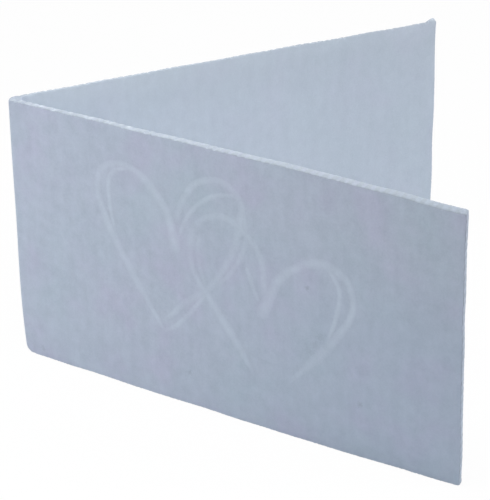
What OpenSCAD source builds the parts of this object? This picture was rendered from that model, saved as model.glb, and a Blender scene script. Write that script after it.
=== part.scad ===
// Greeting card, folded once and standing open
// One sheet of thick pale card, torn from its page along perforated lines, folded
// upright at the left and stood on its lower edges. Two loosely drawn, linked
// hearts stand a little proud of the front panel as a raised pearl print.
// Millimetres, +Z up. The front panel faces -Y and the fold is at its left end.

/* [Sheet] */
// Width of each of the two equal panels, from the back of the fold to the free edge
panel_w = 58; // [40:1:90]
// Height of the card
panel_h = 31; // [24:1:60]
// Thickness of the card stock
sheet_t = 1; // [0.95:0.05:1.3]

/* [Fold] */
// Angle between the two panels as the card stands
open_angle = 64.5; // [40:0.5:88]
// Outside radius of the fold
fold_r = 0.9; // [0.5:0.05:0.95]
// Height of the flat bead that scoring raises inside the crease
bead_h = 0.45; // [0.2:0.05:0.6]
// How much thinner the card is pressed, on each face, along the crease
crease_d = 0.03; // [0.01:0.01:0.1]
// Radius of the blunted corner at the foot of the fold
foot_r = 1.8; // [0.8:0.1:3]

/* [Torn edges] */
// Distance from one perforation cut to the next
perf_pitch = 1; // [0.8:0.1:2]
// Length of a nick at the edge
nick_l = 0.42; // [0.3:0.02:0.7]
// Length of a nick at its floor
nick_floor_l = 0.18; // [0.1:0.02:0.28]
// Depth of a nick
nick_d = 0.12; // [0.05:0.01:0.25]
// Radius worn on the free corners
corner_r = 0.5; // [0.2:0.1:2]
// Width of the torn nub beside the back panel's upper free corner
nub_w = 1.2; // [0.6:0.1:2]
// Height of the nub above the edge
nub_h = 0.5; // [0.2:0.1:1]

/* [Hearts] */
// Width of the pair of hearts, from the middle of one outer line to the other's
hearts_w = 32.6; // [20:0.2:38]
// Height of the pair of hearts, from their lower point to the middle of the upper line
hearts_h = 21.6; // [14:0.2:23]
// Plain width of a drawn line
line_w = 0.5; // [0.3:0.05:0.8]
// Height of the print above the panel
print_h = 0.05; // [0.02:0.01:0.2]

/* [Hidden] */
card_colour = [0.68, 0.72, 0.78];
print_colour = [0.77, 0.82, 0.86];
$fn = 96;

// The fold's axis is the line where the panels' inner faces meet. The rounded back of the
// fold is struck from a centre behind it, midway between the panels.
half_angle = open_angle / 2;
fold_back = (sheet_t - crease_d - fold_r) / sin(half_angle);
fold_centre = -fold_back * [cos(half_angle), sin(half_angle)];
fold_reach = fold_r - fold_centre[0];
// The fold is torn a little lower than the panels, by the depth of a nick. The panels start
// just off the axis, so that they don't meet in a line above the fold.
fold_h = panel_h - nick_d;
panel_start = crease_d;
// Flat width of a panel, from the fold's axis to the free edge
flat_w = panel_w - fold_reach;
// The blunted foot is struck from a centre nearer the corner than its radius,
// so that the arc crosses the two edges and doesn't only graze them
foot_centre_share = 0.95;
foot_centre = foot_r * foot_centre_share;
// One overrun for every cut, and one depth by which the print is rooted in the sheet
overrun = sheet_t;
print_root = sheet_t / 2;
// Degrees from one point of a small rounding to the next
round_step = 30;

// The middle of the part's box, which is put above the origin
box_mid_x = (flat_w - fold_reach) / 2;
back_end_y = flat_w * sin(open_angle) + sheet_t * cos(open_angle);
front_end_y = -sheet_t - print_h;
box_mid_y = (back_end_y + front_end_y) / 2;

// Middle of the pair of hearts, as shares of the flat panel
hearts_mid_shares = [0.492, 0.542];
// Each half heart is one line from its point, over its lobe, to the cleft. Its places are
// shares of the pair's width and height.
left_near_shares = [[0.27, 0.11], [0.17, 0.30], [0.08, 0.51], [0.02, 0.68], [0.00, 0.81], [0.02, 0.91],
                    [0.09, 0.96], [0.17, 0.94], [0.25, 0.84], [0.30, 0.72], [0.32, 0.55]];
left_far_shares = [[0.26, 0.15], [0.35, 0.29], [0.46, 0.43], [0.54, 0.62], [0.58, 0.81], [0.58, 0.93],
                   [0.51, 1.00], [0.42, 0.97], [0.36, 0.87], [0.32, 0.72]];
right_near_shares = [[0.63, 0.00], [0.54, 0.19], [0.45, 0.36], [0.39, 0.49], [0.38, 0.63], [0.42, 0.76],
                     [0.51, 0.82], [0.60, 0.76], [0.65, 0.63], [0.65, 0.44]];
right_far_shares = [[0.76, 0.02], [0.85, 0.17], [0.93, 0.32], [0.99, 0.46], [1.00, 0.57], [0.97, 0.67],
                    [0.89, 0.71], [0.80, 0.66], [0.72, 0.55], [0.65, 0.32]];
// Second passes of the brush that run beside those lines and join them at both ends
left_lobe_shares = [[0.07, 0.57], [0.04, 0.73], [0.05, 0.86], [0.13, 0.95]];
left_crown_shares = [[0.58, 0.95], [0.47, 0.91], [0.38, 0.79], [0.33, 0.64]];
left_point_shares = [[0.27, 0.11], [0.33, 0.17], [0.39, 0.27], [0.45, 0.39]];
left_side_shares = [[0.47, 0.42], [0.55, 0.55], [0.60, 0.72], [0.59, 0.90]];
right_crown_shares = [[0.45, 0.38], [0.42, 0.55], [0.42, 0.69], [0.49, 0.78], [0.55, 0.70]];
right_cleft_shares = [[0.60, 0.59], [0.62, 0.51], [0.65, 0.41]];
right_lobe_shares = [[0.90, 0.71], [0.95, 0.60], [0.94, 0.45], [0.90, 0.28]];
second_passes_shares = [left_lobe_shares, left_crown_shares, left_point_shares, left_side_shares,
                        right_crown_shares, right_cleft_shares, right_lobe_shares];
// Where a line swells as the brush is pressed: how much wider, where along it and over how far
left_near_swell_shares = [[0.6, 0.20, 0.10], [0.5, 0.78, 0.06]];
left_far_swell_shares = [[0.3, 0.44, 0.10]];
right_near_swell_shares = [[0.9, 0.12, 0.07], [0.4, 0.48, 0.04]];
right_far_swell_shares = [[0.8, 0.17, 0.09], [0.5, 0.74, 0.09]];
// How much wider a line is where it ends in the cleft, and how late it spreads
cleft_swell_share = 1.3;
no_swell_share = 0;
cleft_ease = 14;
// A line starts thin at the heart's point: its width there and how soon it is full
tip_shares = [0.5, 0.1];
// Short steps of a line between two of its places
line_steps = 5;

// A point of the smooth curve through a list of places
function curve_point(p, i, t) =
    let (a = p[max(i - 1, 0)], b = p[i], c = p[i + 1], d = p[min(i + 2, len(p) - 1)])
    (2 * b + (c - a) * t + (2 * a - 5 * b + 4 * c - d) * t ^ 2 + (3 * b - a - 3 * c + d) * t ^ 3) / 2;

// The curve as short steps, from shares of the pair's box
function line_path(shares) =
    let (p = [for (s = shares) [s[0] * hearts_w, s[1] * hearts_h]])
    [for (i = [0 : len(p) - 2]) for (k = [0 : line_steps - 1]) curve_point(p, i, k / line_steps),
     p[len(p) - 1]];

// Unit direction across a path, to the right of the way it runs
function across(path, i) =
    let (d = path[min(i + 1, len(path) - 1)] - path[max(i - 1, 0)])
    [d[1], -d[0]] / norm(d);

// How far along a path a point is, from 0 to 1
function along(path, i) = i / (len(path) - 1);

// All the swells of a line at one point, as a share of its plain width
function swell_at(k, swells) =
    [for (s = swells) s[0] * exp(-((k - s[1]) / s[2]) ^ 2)] * [for (s = swells) 1];

// Width of a line at one point
function width_at(k, swells, cleft) =
    line_w * (1 + swell_at(k, swells) + cleft * k ^ cleft_ease)
    * (tip_shares[0] + (1 - tip_shares[0]) * min(1, k / tip_shares[1]));

// Both sides of a line as one outline
function line_outline(path, widths) =
    let (last = len(path) - 1)
    concat([for (i = [0 : last]) path[i] + across(path, i) * widths[i] / 2],
           [for (i = [last : -1 : 0]) path[i] - across(path, i) * widths[i] / 2]);

// Nicks along a stretch of edge, as pairs of distance along it and depth into it, with
// whole card left at both ends
function nicks(start, end) =
    let (count = max(1, round((end - start) / perf_pitch)), step = (end - start) / count)
    [for (i = [0 : count - 1])
        let (mid = start + (i + 1 / 2) * step)
        each [[mid - nick_l / 2, 0], [mid - nick_floor_l / 2, nick_d],
              [mid + nick_floor_l / 2, nick_d], [mid + nick_l / 2, 0]]];

// A worn corner about a centre, through a quarter turn
function worn_corner(centre, from) =
    [for (a = [from : round_step : from + 90]) centre + corner_r * [cos(a), sin(a)]];

// A torn nub that stands on the upper edge and ends where the corner starts to turn
function torn_nub() =
    let (mid = [flat_w - corner_r - nub_w / 2, panel_h])
    [for (a = [round_step : round_step : 180 - round_step]) mid + [nub_w / 2 * cos(a), nub_h * sin(a)]];

// One flat panel, standing, with the fold's axis at x = 0 and its thickness towards -Y
module flat_panel(nub) {
    corner_x = flat_w - corner_r;
    upper_end = corner_x - (len(nub) > 0 ? nub_w : 0);
    upper_nicks = nicks(0, upper_end);
    lower = nicks(0, corner_x);
    free = [for (n = nicks(corner_r, panel_h - corner_r)) [flat_w - n[1], n[0]]];
    upper = [for (i = [len(upper_nicks) - 1 : -1 : 0]) [upper_nicks[i][0], panel_h - upper_nicks[i][1]]];
    rotate([90, 0, 0])
        linear_extrude(sheet_t)
            polygon(concat([[panel_start, 0]], lower, worn_corner([corner_x, corner_r], -90), free,
                           worn_corner([corner_x, panel_h - corner_r], 0), nub, upper,
                           [[panel_start, panel_h]]));
}

// The fold that joins the two panels: rounded outside, and pressed up into a flat bead inside
module fold() {
    linear_extrude(fold_h)
        intersection() {
            translate(fold_centre)
                circle(fold_r);
            rotate(half_angle)
                translate([bead_h - panel_w, -panel_w / 2])
                    square(panel_w);
        }
}

// What is missing at the blunted foot of the fold
module foot_cut() {
    rotate([0, 0, half_angle])
        translate([-fold_back - fold_r, panel_w / 2, 0])
            rotate([90, 0, 0])
                linear_extrude(panel_w)
                    difference() {
                        translate([-overrun, -overrun])
                            square(foot_centre + overrun);
                        translate([foot_centre, foot_centre])
                            circle(foot_r);
                    }
}

// The folded sheet
module sheet() {
    difference() {
        union() {
            flat_panel([]);
            fold();
            rotate([0, 0, open_angle])
                translate([0, sheet_t, 0])
                    flat_panel(torn_nub());
        }
        foot_cut();
    }
}

// One drawn half heart
module half_heart(shares, swells, cleft) {
    path = line_path(shares);
    polygon(line_outline(path, [for (i = [0 : len(path) - 1]) width_at(along(path, i), swells, cleft)]));
}

// The pair of hearts, as a flat drawing on the panel
module hearts_drawing() {
    mid_x = hearts_mid_shares[0] * flat_w;
    mid_z = hearts_mid_shares[1] * panel_h;
    translate([mid_x - hearts_w / 2, mid_z - hearts_h / 2]) {
        half_heart(left_near_shares, left_near_swell_shares, cleft_swell_share);
        half_heart(left_far_shares, left_far_swell_shares, no_swell_share);
        half_heart(right_near_shares, right_near_swell_shares, no_swell_share);
        half_heart(right_far_shares, right_far_swell_shares, cleft_swell_share);
        for (shares = second_passes_shares) {
            path = line_path(shares);
            polygon(line_outline(path, [for (p = path) line_w]));
        }
    }
}

// The raised print, rooted in the front panel
module hearts_print() {
    translate([0, print_root - sheet_t, 0])
        rotate([90, 0, 0])
            linear_extrude(print_root + print_h)
                hearts_drawing();
}

// The whole card
module card() {
    translate([-box_mid_x, -box_mid_y, 0]) {
        color(card_colour)
            sheet();
        color(print_colour)
            hearts_print();
    }
}

card();
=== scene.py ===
# %% [markdown]
# # A small folded greeting card
# The object is one sheet of thick, soft, pale blue-grey card. It was torn from its page
# along perforated lines, scored and folded once, and stands open in a V on its lower
# edges. Two loosely drawn, linked hearts are printed in pale pearl on the front panel.
# This lesson loads the measured frame, builds the torn sheet and the print as meshes,
# gives both a procedural finish, and lights them softly on a pale floor.

import math
import random

import bmesh
import bpy
from mathutils import Matrix, Vector, noise


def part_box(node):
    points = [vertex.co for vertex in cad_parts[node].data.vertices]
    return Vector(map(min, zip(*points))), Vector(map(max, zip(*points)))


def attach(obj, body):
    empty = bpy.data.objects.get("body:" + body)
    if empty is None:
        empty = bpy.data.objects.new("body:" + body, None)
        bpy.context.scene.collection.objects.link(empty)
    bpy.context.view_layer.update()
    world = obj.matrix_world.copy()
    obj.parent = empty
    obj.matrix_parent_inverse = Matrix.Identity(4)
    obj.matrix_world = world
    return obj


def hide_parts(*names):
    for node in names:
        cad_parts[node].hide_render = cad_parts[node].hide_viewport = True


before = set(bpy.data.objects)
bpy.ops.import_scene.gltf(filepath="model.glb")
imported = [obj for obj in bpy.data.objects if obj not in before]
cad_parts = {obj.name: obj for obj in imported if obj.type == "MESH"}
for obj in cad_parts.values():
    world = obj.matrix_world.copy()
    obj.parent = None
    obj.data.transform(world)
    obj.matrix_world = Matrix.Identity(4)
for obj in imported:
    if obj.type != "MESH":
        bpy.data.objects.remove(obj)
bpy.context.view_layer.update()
card_low, card_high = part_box("card")
scene = bpy.context.scene
scene.view_settings.view_transform = "Standard"
print("card box in mm:", [round(1000 * side, 2) for side in card_high - card_low])

# %% [markdown]
# ## The card's sizes
# A finished piece has its place in its mesh, so every size is in metres in the shared
# frame. The fold's axis is the upright line where the two inner faces would meet. The
# front panel runs from it along +X and the back panel runs off at the opening angle.
# The box of the solid gives where that axis stands, so the mesh can't drift from it.

# %% Sizes
MM = 0.001
sheet_thickness = 1.0 * MM
opening = math.radians(64.5)
fold_radius = 0.9 * MM
crease_depth = 0.03 * MM
nub_height = 0.5 * MM
solid_print_height = 0.05 * MM

bisector = Vector((math.cos(opening / 2), math.sin(opening / 2)))
panel_width = card_high.x - card_low.x
panel_height = card_high.z - card_low.z - nub_height
fold_back = (sheet_thickness - crease_depth - fold_radius) / math.sin(opening / 2)
fold_centre = -fold_back * bisector
fold_reach = fold_radius - fold_centre.x
flat_width = panel_width - fold_reach
axis = Vector((card_low.x + fold_reach, card_low.y + solid_print_height + sheet_thickness))
print("flat panel in mm:", round(flat_width / MM, 2), "by", round(panel_height / MM, 2))
print("fold axis in mm:", [round(place / MM, 2) for place in axis])

# %% [markdown]
# ## The camera
# The camera's place comes from the photograph's straight edges: both panels have the
# same size, so their outlines fix the lens, the direction and the distance together.
# The camera looks down at about 24 degrees from the right of the front panel.

# %% Camera
camera_lens = 136.5
camera_turn = math.radians(34.213)
camera_tilt = math.radians(23.825)
camera_roll = math.radians(-0.434)
camera_distance = 221.42 * MM
camera_aim = Vector((-9.077, -8.594, 10.963)) * MM

ahead = Vector((
    -math.sin(camera_turn) * math.cos(camera_tilt),
    math.cos(camera_turn) * math.cos(camera_tilt),
    -math.sin(camera_tilt),
))
camera_data = bpy.data.cameras.new("camera")
camera_data.sensor_width = 36
camera_data.lens = camera_lens
camera_data.clip_start = 0.01
camera_data.clip_end = 20
camera = bpy.data.objects.new("camera", camera_data)
scene.collection.objects.link(camera)
aimed = ahead.to_track_quat("-Z", "Y").to_matrix().to_4x4()
rolled = aimed @ Matrix.Rotation(camera_roll, 4, "Z")
camera.matrix_world = Matrix.Translation(camera_aim - ahead * camera_distance) @ rolled
scene.camera = camera
print("camera at mm:", [round(place / MM, 1) for place in camera.matrix_world.translation])

# %% [markdown]
# ## How the flat sheet folds
# The sheet is modelled flat, as it was cut, and folded at the end. Each point of the
# flat blank has three places: along the sheet from the middle of the crease (negative
# on the front panel), up the sheet, and a depth from 0 on the inner face to 1 on the
# outer face. A bend about one axis would pinch the inner face of such thick stock, so
# the fold is a blend of two lines: a round outside and a flat bead inside.

# %% Fold lines
bead_height = 0.45 * MM
bead_reach = bead_height / math.cos(opening / 2)
outer_straight = bead_reach - fold_centre.x
outer_arc = fold_radius * (math.pi - opening)
half_fold = outer_straight + outer_arc / 2
half_length = half_fold + flat_width - bead_reach


def held(value):
    """A value kept from 0 to 1"""
    return max(0, min(1, value))


def on_panel(back, reach, out):
    """Plan of a point at a reach from the fold's axis and a distance outside the inner face"""
    if not back:
        return Vector((reach, -out))
    return Vector((
        reach * math.cos(opening) - out * math.sin(opening),
        reach * math.sin(opening) + out * math.cos(opening),
    ))


def outer_line(along):
    """Plan of the outer face at a place along the sheet"""
    back = along > 0
    beyond = abs(along) - outer_arc / 2
    if beyond >= 0:
        reach = fold_centre.x + beyond
        pressed = crease_depth * held((2 * bead_reach - reach) / bead_reach)
        return on_panel(back, reach, sheet_thickness - pressed)
    angle = math.pi + opening / 2 - along / fold_radius
    return fold_centre + fold_radius * Vector((math.cos(angle), math.sin(angle)))


def inner_line(along):
    """Plan of the inner face at a place along the sheet"""
    back = along > 0
    beyond = abs(along) - half_fold
    if beyond >= 0:
        return on_panel(back, bead_reach + beyond, 0)
    crest = bead_height * bisector
    return crest.lerp(on_panel(back, bead_reach, 0), abs(along) / half_fold)


print("flat sheet in mm:", round(2 * half_length / MM, 2), "long")

# %% [markdown]
# ## Wear and twist
# The real card has been handled. The fold's two ends are blunted, the lower one more, and
# the fold is worn back towards its foot and a little at its waist. The front panel is
# slightly twisted: at the free end it leans out at the top, and its lower corner curls in.

# %% The folded and worn sheet
foot_radius = 1.3 * MM
crown_radius = 0.35 * MM
blunt_centre = 0.95
blunt_span = 6
foot_wear = 0.42 * MM
foot_wear_height = 14 * MM
waist_wear = 0.09 * MM
waist_wear_span = 6.5 * MM
wear_span = 1.3 * half_fold
lean_above = -0.79 * MM
lean_below = 0.6 * MM


def bell(offset, span):
    """A soft bump that is 1 at no offset and has faded out at two spans"""
    return math.exp(-((offset / span) ** 2))


def blunted(plan, radius):
    """How far a rounded corner at the back of the fold moves the edge that ends there"""
    from_back = plan.dot(bisector) + fold_back + fold_radius
    centre = blunt_centre * radius
    short = max(0, centre - from_back)
    return max(0, centre - math.sqrt(max(0, radius ** 2 - short ** 2)))


def folded(along, up, depth):
    """Where a point of the flat sheet lies once the card is folded and stood up"""
    plan = inner_line(along).lerp(outer_line(along), depth)
    near_foot = max(0, 1 - up / (blunt_span * foot_radius))
    near_crown = max(0, 1 - (panel_height - up) / (blunt_span * crown_radius))
    rise = blunted(plan, foot_radius) * near_foot ** 2
    drop = blunted(plan, crown_radius) * near_crown ** 2
    worn = foot_wear * max(0, 1 - up / foot_wear_height) ** 2
    worn += waist_wear * bell(up - panel_height / 2, waist_wear_span)
    worn *= depth * bell(along, wear_span)
    plan += worn * bisector
    if along < 0:
        far = max(0, plan.x) / flat_width
        share = up / panel_height
        plan.y += lean_above * far * share + lean_below * far ** 5 * (1 - share)
    return Vector((axis.x + plan.x, axis.y + plan.y, up + rise - drop))


waist = folded(0, panel_height / 2, 1)
print("fold's back at mid height in mm:", [round(place / MM, 2) for place in waist])

# %% [markdown]
# ## The blank
# The torn edge needs a point every tenth of a millimetre, but the middle of a panel is
# plain. A full grid at that pitch would be far too heavy. The blank is therefore one
# face with rounded corners and a finely divided rim, three narrow rings set inside it,
# and a few straight cuts that let it bend.

# %% Blank with a fine rim
corner_radius = 0.24 * MM
rim_step = 0.1 * MM
length_slack = 0.2 * MM

blank = bmesh.new()
bmesh.ops.create_grid(blank, x_segments=1, y_segments=1, size=0.5)
bmesh.ops.scale(blank, vec=(2 * half_length, panel_height, 1), verts=blank.verts)
bmesh.ops.translate(blank, vec=(0, panel_height / 2, 0), verts=blank.verts)
bmesh.ops.bevel(
    blank, geom=blank.verts[:], offset=corner_radius, segments=8, profile=0.5,
    affect="VERTICES", material=-1,
)
for wanted in (2 * half_length - 2 * corner_radius, panel_height - 2 * corner_radius):
    sides = [side for side in blank.edges if abs(side.calc_length() - wanted) < length_slack]
    cuts = 2 * round(wanted / rim_step / 2) - 1
    bmesh.ops.bisect_edges(blank, edges=sides, cuts=cuts)
print("points round the rim:", len(blank.verts), "faces:", len(blank.faces))

# %% Rings and cuts
ring_widths = (0.05 * MM, 0.07 * MM, 0.08 * MM)
panel_step = 2.4 * MM
panel_cuts = 23
panel_rows = 13

for width in ring_widths:
    largest = max(blank.faces, key=lambda face: face.calc_area())
    bmesh.ops.inset_region(
        blank, faces=[largest], thickness=width, use_even_offset=True, use_boundary=True
    )


def cut_blank(place, across):
    """One straight cut right through the blank"""
    geom = blank.verts[:] + blank.edges[:] + blank.faces[:]
    bmesh.ops.bisect_plane(blank, geom=geom, dist=1e-6, plane_co=place, plane_no=across)


fold_step = (half_length - corner_radius) / round((half_length - corner_radius) / rim_step)
fold_cuts = math.ceil(half_fold / fold_step) + 2
for k in range(-fold_cuts, fold_cuts + 1):
    cut_blank((k * fold_step, 0, 0), (1, 0, 0))
for way in (-1, 1):
    for k in range(1, panel_cuts + 1):
        cut_blank((way * (half_fold + k * panel_step), 0, 0), (1, 0, 0))
for k in range(1, panel_rows):
    cut_blank((0, k * panel_height / panel_rows, 0), (0, 1, 0))
print("faces in the flat blank:", len(blank.faces))

# %% [markdown]
# ## Thickness
# Solidify gives the blank its second face and a wall round the rim. The wall's short
# edges are divided, so that the torn edge can be rough and round across its thickness.

# %% Thickness and rim rows
wall_cuts = 4

bmesh.ops.recalc_face_normals(blank, faces=blank.faces[:])
bmesh.ops.solidify(blank, geom=blank.faces[:], thickness=sheet_thickness)
lowest = min(vert.co.z for vert in blank.verts)
for vert in blank.verts:
    vert.co.z = round((vert.co.z - lowest) / sheet_thickness) * sheet_thickness
walls = []
for side in blank.edges:
    if abs(side.verts[0].co.z - side.verts[1].co.z) > sheet_thickness / 2:
        walls.append(side)
bmesh.ops.subdivide_edges(blank, edges=walls, cuts=wall_cuts)
bmesh.ops.recalc_face_normals(blank, faces=blank.faces[:])
print("faces with thickness:", len(blank.faces), "walls:", len(walls))

# %% [markdown]
# ## Torn, perforated edges
# A perforating rule leaves short cuts with narrow bridges between them. When the card is
# pulled off, each bridge tears into a fuzzy land and each cut stays as a shallow nick.
# Every nick gets its own seeded place, length and depth, because a regular row of equal
# teeth looks like a machine part and not like torn card. On the upper edge they are
# deepest at the fold on the front panel, and at the free end on the back panel. Slow
# waves keep the edges from being straight.

# %% Nicks of the four edges
perforation = 1.0 * MM
nick_half_share = 0.21
nick_wander = 0.1
slow_wave = 0.09 * MM
slow_length = 5 * MM
fuzz_height = 0.035 * MM
fuzz_length = 0.17 * MM
dice = random.Random(11)


def nick_row(length, depth):
    """Seeded nicks along one edge, as their middle, half length and depth"""
    row = []
    for k in range(int(length / perforation) + 1):
        middle = (k + 0.5 + dice.uniform(-nick_wander, nick_wander)) * perforation
        half = nick_half_share * perforation * dice.uniform(0.75, 1.35)
        row.append((middle, half, depth * dice.uniform(0.45, 1.25)))
    return row


edge_nicks = {
    "upper": nick_row(2 * half_length, 0.11 * MM),
    "lower": nick_row(2 * half_length, 0.05 * MM),
    "front_end": nick_row(panel_height, 0.03 * MM),
    "back_end": nick_row(panel_height, 0.03 * MM),
}
edge_seed = {"upper": 3.0, "lower": 17.0, "front_end": 31.0, "back_end": 47.0}


def nick_strength(edge, middle):
    """How deep a nick is cut: the share runs from 0 at the front's free end to 2 at the back's"""
    share = middle / half_length
    if edge != "upper":
        return 1
    return 0.4 + 0.8 * share if share < 1 else 0.6 * share


def torn_inset(edge, place):
    """How far the torn edge lies inside the straight cut line, and how much of it is land"""
    k = max(0, min(int(place / perforation), len(edge_nicks[edge]) - 1))
    middle, half, depth = edge_nicks[edge][k]
    near = abs(place - middle) / half
    nick = nick_strength(edge, middle) * depth * (1 - near ** 4) if near < 1 else 0
    land = held((near - 0.8) / 0.5)
    slow = noise.noise(Vector((place / slow_length, edge_seed[edge], 0.5)))
    fuzz = noise.noise(Vector((place / fuzz_length, edge_seed[edge], 4.5)))
    return nick + slow_wave * slow + fuzz_height * fuzz * land, land


print("nicks:", {edge: len(row) for edge, row in edge_nicks.items()})

# %% [markdown]
# ## Slanted tears
# Card hardly ever tears square. Along the front panel's upper edge the inner side stands
# a little higher towards the free end, where the whole edge droops, and the foot of its
# outer side lifts there. The back panel's upper edge slopes away behind and down to its
# free end. At the front panel's free end the inner side is the shorter one. Below the
# upper corners that end lies a little further in, and the back panel's a little further
# out.

# %% Slant of the tears
tear_reach = 1.2 * MM
corner_share = 0.4
inner_rise = 0.34 * MM
inner_start = 0.12 * MM
front_raise = 0.09 * MM
raise_end, raise_fade = 0.8, 0.16
front_droop = 0.3 * MM
droop_reach = 6 * MM
front_foot_lift = 0.14 * MM
front_end_slant = 0.25 * MM
front_end_in = 0.14 * MM
back_raise = 0.35 * MM
back_fall = 0.45 * MM
back_slant = 0.42 * MM
back_end_out = 0.1 * MM
front_calm, back_calm = 0.05, 0.06


def slanted(along, up, depth):
    """How far the slanted tears move a point of the sheet, along it and up it"""
    far = abs(along) / half_length
    to_end = half_length - abs(along)
    below_corner = held((1 - up / panel_height) / corner_share)
    if along < 0:
        lift = (inner_rise * far - inner_start) * (1 - depth)
        lift += front_raise * held((raise_end - far) / raise_fade)
        lift -= front_droop * bell(to_end, droop_reach)
        lift *= held(far / front_calm)
        foot_lift = front_foot_lift * far ** 3 * depth
        sideways = front_end_slant * (1 - depth) + front_end_in * below_corner
    else:
        lift = (back_raise - back_fall * far - back_slant * depth) * held(far / back_calm)
        foot_lift = 0
        sideways = back_end_out * below_corner
    upward = lift * bell(panel_height - up, tear_reach) + foot_lift * bell(up, tear_reach)
    return Vector((sideways * bell(to_end, tear_reach), upward))


corner_move = slanted(-half_length, panel_height, 0)
print("front's upper corner moves inside by mm:", [round(part / MM, 2) for part in corner_move])

# %% [markdown]
# ## Fibre
# A torn edge is pale where loose fibre shows. Painted shade darkens it at the top of the
# fold, in the nicks near the fold, and towards and along the front panel's free end. Near
# the fold the front panel's upper edge has paler lumps. A pale tuft stands where the last
# bridge of the back panel tore. It peaks a little short of the corner and falls off to the
# outer side.

# %% Fibre of the torn edges
# Strengths of painted shade on the torn edges
end_painted_shade = 0.6
crest_painted_shade = 0.45
crest_fall = 0.6
far_painted_shade = 0.35
nick_painted_shade = 0.3
lump_size = 0.75 * MM
lump_strength = 0.55
lump_paleness = 0.15
lump_fade = 1.4
nub_width = 1.2 * MM
nub_root = 0.6 * MM
nub_fall = 0.6
nub_peak = half_length - 0.56 * MM


def fibre_shown(edge, along):
    """How much loose white fibre a torn edge shows"""
    if edge == "upper":
        return 1 if along < 0 else 0.8
    return 0.7 if edge == "front_end" else 0.3


def edge_shade_and_lumps(edge, along, depth, land):
    """How much painted shade darkens a torn edge, with paler lumps towards the fold"""
    if edge != "upper":
        return end_painted_shade if edge == "front_end" else 0
    crest = crest_painted_shade * (1 - crest_fall * depth) * bell(along, half_fold)
    if along > 0:
        return crest
    far = -along / half_length
    lump = noise.noise(Vector((along / lump_size, 1.5 * depth, 8.5)))
    # Painted shade in the nicks, less the paler lumps
    lumps = nick_painted_shade * (1 - land) - lump_paleness - lump_strength * lump
    return crest + far_painted_shade * far ** 2 + lumps * max(0, 1 - lump_fade * far)


def tuft_rise(along, up, depth):
    """Height of the torn tuft at the back panel's upper corner"""
    side_width = (0.45 if along > nub_peak else 0.55) * nub_width
    peak = max(0, 1 - abs(along - nub_peak) / side_width)
    root = max(0, 1 - (panel_height - up) / nub_root)
    return nub_height * peak * (1 - nub_fall * depth) * root


tuft_sides = [tuft_rise(nub_peak, panel_height, depth) for depth in (0, 1)]
print("tuft in mm, inner and outer side:", [round(rise / MM, 2) for rise in tuft_sides])

# %% [markdown]
# ## Shaping the edges
# Every point of the blank is moved by the slant, by the nick or land that it lies in, by
# the rounding of the edge's two sides and by the roughness between them. Then it is
# folded. Two attributes tell the finish how much fibre shows, and how much painted shade
# and pale fibre it has.

# %% Places near the rim
corner_calm = 0.5 * MM


def rim_place(along, up):
    """How far inside the outline a point is, the way inwards, its edge, place and calm there"""
    half_height = panel_height / 2
    over = Vector((abs(along) - half_length, abs(up - half_height) - half_height))
    over += Vector((corner_radius, corner_radius))
    at_end = over.x > over.y
    if min(over) > 0:
        inside, inward = corner_radius - over.length, -over.normalized()
    else:
        inside, inward = corner_radius - max(over), Vector((-1, 0) if at_end else (0, -1))
    if along <= 0:
        inward.x = -inward.x
    if up <= half_height:
        inward.y = -inward.y
    if at_end:
        edge, place = ("back_end" if along > 0 else "front_end"), up
    else:
        edge, place = ("upper" if up > half_height else "lower"), along + half_length
    return inside, inward, edge, place, held(-min(over) / corner_calm)


print("edge at the front panel's end:", rim_place(-half_length, panel_height / 2)[2])

# %% Shape the torn edges and fold the sheet
nick_reach = 2 * MM
nick_span = 0.3 * MM
arris_span = 0.1 * MM
nick_arris = 0.05 * MM
land_arris = 0.04 * MM
end_arris_share = 0.4
upper_lip, lower_lip, end_lip = 0.09 * MM, 0.05 * MM, 0.02 * MM
rough_depth = 0.02 * MM
rough_height = 0.03 * MM
rough_length = 0.12 * MM
fibre_reach = 0.085 * MM
end_fibre_reach = 0.03 * MM
full_tuft = 0.2 * MM
tuft_paleness = 0.35
fibre = blank.verts.layers.float.new("torn")
# Painted shade of the torn edges, negative where lumps and the tuft are paler
edge_shade_and_pale = blank.verts.layers.float.new("edge_shade_and_pale")

for vert in blank.verts:
    along, up, depth = vert.co.x, vert.co.y, vert.co.z / sheet_thickness
    skin = abs(2 * depth - 1)
    inside, inward, edge, place, from_corner = rim_place(along, up)
    upright, level = inward.y ** 2, inward.x ** 2
    move = slanted(along, up, depth)
    land = 1
    if inside < nick_reach:
        inset, land = torn_inset(edge, place)
        move += inward * inset * from_corner * bell(inside, nick_span)
    arris = (nick_arris + land_arris * land) * (upright + end_arris_share * level) * skin ** 3
    move += inward * arris * bell(inside, arris_span)
    if inside < rough_depth:
        rough = noise.noise(Vector((place / rough_length, 9 * depth, edge_seed[edge])))
        move += inward * rough_height * rough * (1 - skin ** 4)
    tuft = tuft_rise(along, up, depth)
    move.y += tuft
    if depth == 0:
        inner_lip = upper_lip if up > panel_height / 2 else lower_lip
        inner_lip = inner_lip * upright + end_lip * level
        depth = inner_lip * math.exp(-max(0, inside) / arris_span) / sheet_thickness
    fibre_span = fibre_reach * upright + end_fibre_reach * level
    shown = fibre_shown(edge, along) * (0.6 + 0.4 * land) * bell(inside, fibre_span)
    tufted = min(1, tuft / full_tuft)
    vert[fibre] = max(shown, tufted)
    # Painted shade of the torn edges, less the paleness of the tuft
    vert[edge_shade_and_pale] = edge_shade_and_lumps(edge, along, depth, land) - tuft_paleness * tufted
    vert.co = folded(along + move.x, up + move.y, depth)
bmesh.ops.recalc_face_normals(blank, faces=blank.faces[:])
print("lowest point of the sheet in mm:", round(min(vert.co.z for vert in blank.verts) / MM, 3))

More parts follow.
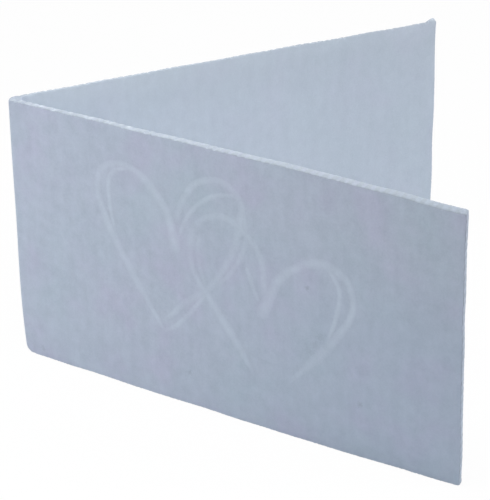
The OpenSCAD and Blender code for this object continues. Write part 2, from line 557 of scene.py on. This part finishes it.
# %% The sheet as a piece
def piece_from(shape, name):
    """A finished, smooth piece from a bmesh, riding on the card's one body"""
    for face in shape.faces:
        face.smooth = True
    mesh = bpy.data.meshes.new(name)
    shape.to_mesh(mesh)
    shape.free()
    piece = bpy.data.objects.new(name, mesh)
    scene.collection.objects.link(piece)
    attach(piece, "root")
    triangles = sum(len(polygon.vertices) - 2 for polygon in mesh.polygons)
    print(name, "has", triangles, "triangles")
    return piece


card_sheet = piece_from(blank, "card_sheet")
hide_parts("card")

# %% [markdown]
# ## The printed hearts
# The hearts are a raised pearl print: a hair thick, softly crowned, with brush strokes
# that swell and run double. Each half heart is a smooth curve through a few places,
# given as shares of the pair's width and height. It has its own strength of print and one
# faint or strong stretch. A stroke is a flat grid that is laid along its curve, crowned
# across, and thickened into the card so that it is closed.

# %% Places of the strokes
hearts_width = 32.6 * MM
hearts_height = 21.6 * MM
hearts_left = 0.492 * flat_width - hearts_width / 2
hearts_low = 0.542 * panel_height - hearts_height / 2

left_near = [(0.27, 0.09), (0.17, 0.30), (0.08, 0.51), (0.02, 0.68), (0.00, 0.81), (0.02, 0.91),
             (0.09, 0.96), (0.17, 0.94), (0.25, 0.84), (0.30, 0.72), (0.32, 0.55)]
left_far = [(0.25, 0.14), (0.35, 0.29), (0.46, 0.43), (0.54, 0.62), (0.58, 0.81), (0.58, 0.93),
            (0.51, 1.00), (0.42, 0.97), (0.36, 0.87), (0.32, 0.72)]
right_near = [(0.63, 0.00), (0.54, 0.19), (0.45, 0.36), (0.39, 0.49), (0.38, 0.63), (0.42, 0.76),
              (0.51, 0.82), (0.60, 0.76), (0.66, 0.64), (0.67, 0.44)]
right_far = [(0.76, 0.02), (0.85, 0.17), (0.93, 0.32), (0.99, 0.46), (1.00, 0.57), (0.97, 0.67),
             (0.89, 0.71), (0.80, 0.66), (0.72, 0.55), (0.65, 0.32)]
# Each half heart: its places, its swells (how much, where, over how far), the spread at
# the cleft, how much print it has, and its faint stretch (how much less, where, over how far)
half_hearts = [
    (left_near, [(0.4, 0.20, 0.10), (0.3, 0.78, 0.06)], 1.1, 0.85, (-0.2, 1.0, 0.1)),
    (left_far, [(0.2, 0.44, 0.10)], 0, 0.8, (0.25, 0.33, 0.12)),
    (right_near, [(0.5, 0.12, 0.07), (0.3, 0.48, 0.04)], 0, 0.8, (0.35, 0.5, 0.2)),
    (right_far, [(0.5, 0.17, 0.09), (0.4, 0.66, 0.09)], 1.1, 1.0, (0.45, 0.1, 0.1)),
]
# Second passes of the brush that run beside those lines, with how much print they have
second_passes = [
    ([(0.07, 0.57), (0.05, 0.73), (0.05, 0.86), (0.08, 0.92), (0.14, 0.95)], 1.0),
    ([(0.58, 0.95), (0.47, 0.91), (0.38, 0.79), (0.33, 0.64)], 0.8),
    ([(0.26, 0.10), (0.32, 0.16), (0.39, 0.28), (0.45, 0.40)], 0.85),
    ([(0.47, 0.42), (0.55, 0.55), (0.60, 0.72), (0.59, 0.90)], 0.55),
    ([(0.45, 0.38), (0.42, 0.50), (0.41, 0.60), (0.42, 0.71)], 0.5),
    ([(0.60, 0.59), (0.62, 0.51), (0.65, 0.41)], 0.8),
    ([(0.90, 0.71), (0.95, 0.60), (0.94, 0.45), (0.90, 0.28)], 1.0),
]
print("half hearts:", len(half_hearts), "second passes:", len(second_passes))

# %% Curves of the strokes
share_step = 0.004


def curve_place(places, share):
    """A point of the smooth curve through the places, in metres on the panel"""
    spot = share * (len(places) - 1)
    k = min(int(spot), len(places) - 2)
    t = spot - k
    a, b, c, d = (
        Vector(places[max(0, min(len(places) - 1, k + step))]) for step in (-1, 0, 1, 2)
    )
    point = 2 * b + (c - a) * t + (2 * a - 5 * b + 4 * c - d) * t ** 2
    point = (point + (3 * b - a - 3 * c + d) * t ** 3) / 2
    return Vector((hearts_left + point.x * hearts_width, hearts_low + point.y * hearts_height))


def across_curve(places, share):
    """Unit direction across the curve, to the right of the way it runs"""
    before = curve_place(places, max(0, share - share_step))
    run = curve_place(places, min(1, share + share_step)) - before
    run.normalize()
    return Vector((run.y, -run.x))


heart_point = curve_place(left_near, 0)
print("left heart's point in mm:", [round(place / MM, 2) for place in heart_point])

# %% Lay the strokes
half_heart_line = 1.15 * MM
second_line = 0.9 * MM
half_heart_fade, half_heart_steps = 0.04, 110
second_fade, second_steps = 0.14, 50
stroke_columns = 8
print_crown = 0.02 * MM
print_sunk = 0.004 * MM
print_thickness = 0.06 * MM
ragged_share = 0.14
ragged_size = 0.5 * MM
hearts = bmesh.new()
cover = hearts.verts.layers.float.new("cover")


def lay_stroke(places, width_at, print_at, fade, steps):
    """One crowned brush stroke along a curve on the front panel, faded at both ends"""
    grid = bmesh.ops.create_grid(hearts, x_segments=steps, y_segments=stroke_columns, size=0.5)
    for vert in grid["verts"]:
        share, side = vert.co.x + 0.5, 2 * vert.co.y
        place = curve_place(places, share)
        ragged = 1 + ragged_share * noise.noise(Vector((place.x, place.y, 0)) / ragged_size)
        spot = place + across_curve(places, share) * side * width_at(share) * ragged / 2
        crown = max(0, 1 - side ** 2) ** 2
        outer = folded(-(half_fold + spot.x - bead_reach), spot.y, 1)
        ends = min(1, share / fade) * min(1, (1 - share) / fade)
        vert[cover] = crown * ends * print_at(share)
        vert.co = outer + Vector((0, print_sunk - crown * ends * print_crown, 0))
    faces = list({face for vert in grid["verts"] for face in vert.link_faces})
    bmesh.ops.recalc_face_normals(hearts, faces=faces)
    if sum(face.normal.y for face in faces) > 0:
        bmesh.ops.reverse_faces(hearts, faces=faces)
    bmesh.ops.solidify(hearts, geom=faces, thickness=print_thickness)


def lay_half_heart(places, swells, cleft, strength, faint):
    """One half heart, thin where it starts, swelling on its way and spread at the cleft"""
    less, faint_at, faint_over = faint

    def width_at(share):
        swell = sum(more * bell(share - where, over) for more, where, over in swells)
        start = 0.5 + 0.5 * min(1, share / 0.1)
        return half_heart_line * (1 + swell + cleft * share ** 8) * start

    def print_at(share):
        return strength - less * bell(share - faint_at, faint_over)

    lay_stroke(places, width_at, print_at, half_heart_fade, half_heart_steps)


def lay_second_pass(places, strength):
    """A second pass, thinner at its two ends, where it joins the line"""

    def width_at(share):
        return second_line * (0.7 + 0.3 * math.sin(math.pi * share))

    lay_stroke(places, width_at, lambda share: strength, second_fade, second_steps)


for half_heart in half_hearts:
    lay_half_heart(*half_heart)
for second_pass in second_passes:
    lay_second_pass(*second_pass)
hearts_print = piece_from(hearts, "hearts_print")

# %% [markdown]
# ## Finishes as Python expressions
# A finish is a tree of nodes. One small class wraps an output socket, so that ordinary
# Python operators add the Math nodes, and one method makes any other node.

# %% Shader helper
class Wire:
    """An output socket that works in Python expressions"""

    def __init__(self, finish, socket):
        self.finish = finish
        self.socket = socket

    def maths(self, operation, first, second):
        return self.finish.node("ShaderNodeMath", {"operation": operation}, {0: first, 1: second})

    def __add__(self, other):
        return self.maths("ADD", self, other)

    def __radd__(self, other):
        return self.maths("ADD", other, self)

    def __sub__(self, other):
        return self.maths("SUBTRACT", self, other)

    def __rsub__(self, other):
        return self.maths("SUBTRACT", other, self)

    def __mul__(self, other):
        return self.maths("MULTIPLY", self, other)

    def __rmul__(self, other):
        return self.maths("MULTIPLY", other, self)


class Finish:
    """A material and the one way of adding nodes to it"""

    def __init__(self, name):
        self.material = bpy.data.materials.new(name)
        self.material.use_nodes = True
        self.tree = self.material.node_tree
        self.tree.nodes.clear()

    def node(self, kind, settings=None, inputs=None, output=0):
        made = self.tree.nodes.new(kind)
        for name, value in (settings or {}).items():
            setattr(made, name, value)
        for name, value in (inputs or {}).items():
            if isinstance(value, Wire):
                self.tree.links.new(value.socket, made.inputs[name])
            else:
                made.inputs[name].default_value = value
        return Wire(self, made.outputs[output])

    def attribute(self, name):
        return self.node("ShaderNodeAttribute", {"attribute_name": name}, None, "Fac")

    def object_places(self, stretch=(1, 1, 1)):
        places = self.node("ShaderNodeTexCoord", output="Object")
        return self.node("ShaderNodeMapping", None, {"Vector": places, "Scale": stretch})

    def one_axis(self, places, name):
        return self.node("ShaderNodeSeparateXYZ", None, {0: places}, name)

    def cloud(self, places, size, detail=3.0, rough=0.5):
        settings = {"noise_dimensions": "3D"}
        inputs = {"Vector": places, "Scale": 1 / size, "Detail": detail, "Roughness": rough}
        return self.node("ShaderNodeTexNoise", settings, inputs, "Fac")

    def between(self, value, low, high, start=0.0, end=1.0):
        inputs = {0: value, 1: low, 2: high, 3: start, 4: end}
        return self.node("ShaderNodeMapRange", {"clamp": True}, inputs)

    def falling(self, value, low, high, most=1.0):
        return self.between(value, low, high, most, 0.0)

    def blend(self, share, first, second):
        inputs = {0: share, 6: first, 7: second}
        return self.node("ShaderNodeMix", {"data_type": "RGBA"}, inputs, 2)

    def spot(self, places, centre, size, ragged):
        settings = {"operation": "DISTANCE"}
        apart = self.node("ShaderNodeVectorMath", settings, {0: places, 1: centre}, "Value")
        return self.falling(apart + (ragged - 0.5) * (1.6 * size), 0.2 * size, size)

    def bump(self, height, distance, normal=None):
        inputs = {"Height": height, "Distance": distance, "Strength": 1.0}
        if normal is not None:
            inputs["Normal"] = normal
        return self.node("ShaderNodeBump", None, inputs)

    def surface(self, shader):
        made = self.tree.nodes.new("ShaderNodeOutputMaterial")
        self.tree.links.new(shader.socket, made.inputs["Surface"])


def colour(red, green, blue):
    """A colour as seen on a screen, from 0 to 255, made linear for the shader"""
    linear = []
    for level in (red / 255, green / 255, blue / 255):
        linear.append(level / 12.92 if level < 0.04045 else ((level + 0.055) / 1.055) ** 2.4)
    return (*linear, 1.0)


print("mid grey, linear:", round(colour(128, 128, 128)[0], 3))

# %% [markdown]
# ## Soft uncoated card
# The stock is pale blue-grey with faint lilac and green-blue clouds, upright streaks
# from the felt it was dried on, a mottle and a fine grain, which are also a bump. The
# back panel is plainer, with painted light that makes it paler towards the fold. One set
# of functions makes this tone, because the thin print lets it through.

# %% Card stock colours
lilac = colour(183, 188, 209)
green_blue = colour(177, 192, 206)
plain_blue = colour(181, 191, 208)
back_plain = colour(183, 194, 205)
# Painted light: the back panel's paler tone towards the fold
back_painted_light = colour(215, 225, 236)
felt_shade = colour(120, 132, 150)
fibre_pale = colour(214, 222, 232)
# Painted shade: a cool tint for the lower right
painted_cool_shade = colour(150, 175, 198)
# A darker tone: painted contact shade at the foot, and darker places
darkening_tone = colour(110, 120, 138)
# Painted shade of the back panel's upper part
painted_back_shade = colour(150, 162, 165)
speck_shade = colour(100, 110, 128)


def pulp_tone(finish, places):
    """The clouds of the plain stock"""
    cloud = finish.cloud(places, 7 * MM, 2.0)
    tint = finish.cloud(places, 3.5 * MM)
    tone = finish.blend(finish.between(cloud, 0.36, 0.64), lilac, green_blue)
    return finish.blend(finish.between(tint, 0.35, 0.65), tone, plain_blue)


def felt_tone(finish, tone, places, deep, behind):
    """The back panel's plainer tone, with painted light towards the fold, and the felt marks and
    fibre of both panels
    """
    streak = finish.cloud(finish.object_places((1, 1, 0.15)), 1.1 * MM)
    mottle = finish.cloud(places, 1.3 * MM, 3.0, 0.6)
    grain = finish.cloud(places, 0.2 * MM, 3.0, 0.6)
    tone = finish.blend(0.6 * behind, tone, back_plain)
    # Painted light: the back panel is painted paler towards the fold
    fold_painted_light = finish.falling(deep, axis.y + 7 * MM, axis.y + 41 * MM, 0.48) * behind
    tone = finish.blend(fold_painted_light, tone, back_painted_light)
    shade = 0.35 * finish.between(streak, 0.3, 0.7) + 0.65 * finish.between(mottle, 0.3, 0.7)
    shade = (0.26 - 0.12 * behind) * shade + 0.06 * behind
    tone = finish.blend(shade, tone, felt_shade)
    tone = finish.blend(0.14 * finish.between(grain, 0.35, 0.65), tone, fibre_pale)
    return tone, grain, 0.4 * streak + mottle


print("plain blue, linear:", [round(level, 3) for level in plain_blue[:3]])

# %% [markdown]
# ## Painted shade and darker places
# The card is painted with a cool, slightly darker shading at its lower right. Painted
# contact shade darkens it where it stands, and painted shade darkens the upper edge of its
# back panel. It is also darker near the floor towards the right and at the fold's two ends
# on the front. The pulp of the front panel has a few specks, and there is one short dark
# streak.

# %% Card stock tone
# Each speck: millimetres along and up the front panel, its size in millimetres, its strength.
# The last three make one short dark streak along the right heart's inner stroke.
specks = [
    (38.9, 18.2, 0.4, 0.22), (23.6, 4.0, 0.4, 0.2), (2.5, 1.3, 0.3, 0.2), (2.65, 1.0, 0.3, 0.2),
    (45.2, 6.4, 0.45, 0.2), (39.2, 10.9, 0.6, 0.1), (39.8, 11.8, 0.7, 0.12), (40.5, 12.9, 0.6, 0.1),
]


def on_front(reach, up):
    """A place on the front panel's outer face, from millimetres along and up it"""
    return folded(-(half_fold + reach * MM - bead_reach), up * MM, 1)


def painted_shade_and_darkening(finish, tone, right, height, behind):
    """Painted shade at the lower right, the foot and the back panel's top, and darker places near
    the foot and the fold's ends
    """
    # Painted shading: a cool tint, a little darker, towards the lower right
    low = finish.falling(height, 15 * MM, 25 * MM)
    cooler = finish.between(right, -8 * MM, 22 * MM, 0.0, 0.18) * low
    tone = finish.blend(cooler, tone, painted_cool_shade)
    # Painted contact shade along the foot, where the card meets the floor
    line = finish.falling(height, 0.15 * MM, 0.7 * MM, 0.07)
    tone = finish.blend(line, tone, darkening_tone)
    # Darker near the floor towards the right
    foot = finish.falling(height, 0.3 * MM, 3 * MM)
    foot = foot * finish.between(right, 0, 18 * MM, 0.0, 0.07)
    tone = finish.blend(foot, tone, darkening_tone)
    # Darker at the fold's two ends on the front
    crown = finish.between(height, 24 * MM, 31 * MM)
    crown = crown * finish.falling(right, axis.x, axis.x + 2 * MM, 0.14)
    heel = finish.falling(height, 0, 6 * MM)
    heel = heel * finish.falling(right, axis.x, axis.x + 7 * MM, 0.1)
    tone = finish.blend((crown + heel) * (1 - behind), tone, darkening_tone)
    # Painted shade on the upper part of the back panel
    upper_back_painted_shade = finish.between(height, 24.5 * MM, 31 * MM, 0.0, 0.14) * behind
    return finish.blend(upper_back_painted_shade, tone, painted_back_shade)


def stock_tone(finish):
    """The card's own colour, its fine grain and the height of its felt marks"""
    places = finish.object_places()
    right, deep, height = (finish.one_axis(places, name) for name in "XYZ")
    behind = finish.between(deep, axis.y + 0.1 * MM, axis.y + 1.5 * MM)
    tone = pulp_tone(finish, places)
    tone, grain, relief = felt_tone(finish, tone, places, deep, behind)
    tone = painted_shade_and_darkening(finish, tone, right, height, behind)
    for reach, up, size, strength in specks:
        mark = finish.spot(places, on_front(reach, up), size * MM, grain)
        tone = finish.blend(strength * mark, tone, speck_shade)
    return tone, grain, relief


print("specks in the pulp:", len(specks))

# %% [markdown]
# ## The sheet's finish
# A torn edge shows the loose pale fibre inside the stock. The mesh carries one attribute
# that tells how much of it each edge shows and another that paints shade on parts of the
# torn edges and makes the lumps and the tuft paler.

# %% Card stock
edge_dark = colour(166, 176, 187)
edge_light = colour(184, 193, 203)
# Painted shade of the torn edges
edge_painted_shade = colour(140, 150, 163)
edge_pale = colour(226, 236, 246)

stock = Finish("card_stock_finish")
tone, grain, relief = stock_tone(stock)
torn = stock.attribute("torn")
shading_and_paleness = stock.attribute("edge_shade_and_pale")
edge_tone = stock.blend(stock.between(grain, 0.3, 0.7), edge_dark, edge_light)
# Painted shade on the torn edges, then their paler lumps and tuft
edge_tone = stock.blend(stock.between(shading_and_paleness, 0.0, 1.0), edge_tone, edge_painted_shade)
edge_tone = stock.blend(stock.between(0 - shading_and_paleness, 0.0, 1.0), edge_tone, edge_pale)
felt = stock.bump(relief, 0.012 * MM)
stock_inputs = {
    "Base Color": stock.blend(torn * 0.95, tone, edge_tone),
    "Roughness": 0.78 + 0.14 * grain,
    "Normal": stock.bump(grain, 0.006 * MM, felt),
    "Specular IOR Level": 0.3,
    "Sheen Weight": 0.05,
}
stock.surface(stock.node("ShaderNodeBsdfPrincipled", None, stock_inputs))
card_sheet.data.materials.append(stock.material)
print("card stock nodes:", len(stock.tree.nodes))

# %% [markdown]
# ## Pearl print
# The print is a thin film, a few shades paler than the card. It is thickest along the
# middle of a stroke and fades to nothing at the sides, where the card's own tone shows.
# An attribute carries how much each place of a stroke covers.

# %% Pearl print
pearl_pale = colour(208, 220, 232)

pearl = Finish("pearl_print_finish")
tone, grain, relief = stock_tone(pearl)
covered = pearl.attribute("cover")
patch = pearl.cloud(pearl.object_places(), 1.6 * MM)
film = pearl.between(covered, 0.0, 1.0) * pearl.between(patch, 0.3, 0.7, 0.16, 0.38)
pearl_inputs = {
    "Base Color": pearl.blend(film, tone, pearl_pale),
    "Roughness": 0.72 + 0.12 * patch,
    "Normal": pearl.bump(grain, 0.005 * MM),
    "Specular IOR Level": 0.3,
    "Sheen Weight": 0.05,
}
pearl.surface(pearl.node("ShaderNodeBsdfPrincipled", None, pearl_inputs))
hearts_print.data.materials.append(pearl.material)
print("pearl print nodes:", len(pearl.tree.nodes))

# %% [markdown]
# ## Floor and light
# The card stands on a plain white floor. The camera sees the floor as nearly white, with
# the card's own soft shadow left in it. A small soft lamp at the left makes the front
# panel brightest at its fold, one far to the right looks into the V, and one above lights
# the torn upper edges. One behind lights the back panel's outer face.

# %% Floor
floor_half = 3
floor_whitened = 0.97

floor_shape = bmesh.new()
bmesh.ops.create_grid(floor_shape, x_segments=1, y_segments=1, size=floor_half)
floor_mesh = bpy.data.meshes.new("floor")
floor_shape.to_mesh(floor_mesh)
floor_shape.free()
floor = bpy.data.objects.new("floor", floor_mesh)
scene.collection.objects.link(floor)

paper = Finish("floor_finish")
matt = paper.node("ShaderNodeBsdfDiffuse", None, {"Color": (0.86, 0.87, 0.88, 1)})
white = paper.node("ShaderNodeEmission", None, {"Color": (1, 1, 1, 1), "Strength": 1.0})
rays = paper.node("ShaderNodeLightPath", output="Is Camera Ray")
seen = paper.node("ShaderNodeMixShader", None, {0: rays * floor_whitened, 1: matt, 2: white})
paper.surface(seen)
floor.data.materials.append(paper.material)
print("floor size in m:", 2 * floor_half)

# %% World
ambient_tint = (0.97, 0.985, 1.0, 1)
ambient_strength = 0.195

world = bpy.data.worlds.new("studio")
scene.world = world
world.use_nodes = True
tree = world.node_tree
tree.nodes.clear()
ambient = tree.nodes.new("ShaderNodeBackground")
ambient.inputs["Color"].default_value = ambient_tint
ambient.inputs["Strength"].default_value = ambient_strength
backdrop = tree.nodes.new("ShaderNodeBackground")
backdrop.inputs["Color"].default_value = (1, 1, 1, 1)
backdrop.inputs["Strength"].default_value = 1.0
path = tree.nodes.new("ShaderNodeLightPath")
mixed = tree.nodes.new("ShaderNodeMixShader")
out = tree.nodes.new("ShaderNodeOutputWorld")
tree.links.new(path.outputs["Is Camera Ray"], mixed.inputs[0])
tree.links.new(ambient.outputs[0], mixed.inputs[1])
tree.links.new(backdrop.outputs[0], mixed.inputs[2])
tree.links.new(mixed.outputs[0], out.inputs["Surface"])
print("world nodes:", len(tree.nodes))

# %% Lamps
card_middle = Vector((0, 0, 0.015))
upper_edges = Vector((-0.02, -0.02, 0.02))
front_near_fold = Vector((-0.02, -0.026, 0.015))


def soft_lamp(name, place, aim, size, power):
    """A square area lamp aimed at a point of the card"""
    data = bpy.data.lights.new(name, "AREA")
    data.size = size
    data.energy = power
    lamp = bpy.data.objects.new(name, data)
    lamp.visible_camera = False
    scene.collection.objects.link(lamp)
    facing = (aim - place).to_track_quat("-Z", "Y").to_matrix().to_4x4()
    lamp.matrix_world = Matrix.Translation(place) @ facing
    return lamp


lamps = [
    soft_lamp("right_fill", Vector((0.6, 0.3, 0.25)), card_middle, 0.3, 3.2),
    soft_lamp("top_fill", Vector((-0.01, -0.06, 0.17)), upper_edges, 0.08, 0.199),
    soft_lamp("left_key", Vector((-0.10, -0.11, 0.05)), front_near_fold, 0.08, 0.052),
    soft_lamp("back_fill", Vector((-0.5, 0.35, 0.25)), card_middle, 0.3, 1.0),
]
print("lamps:", [lamp.name for lamp in lamps])
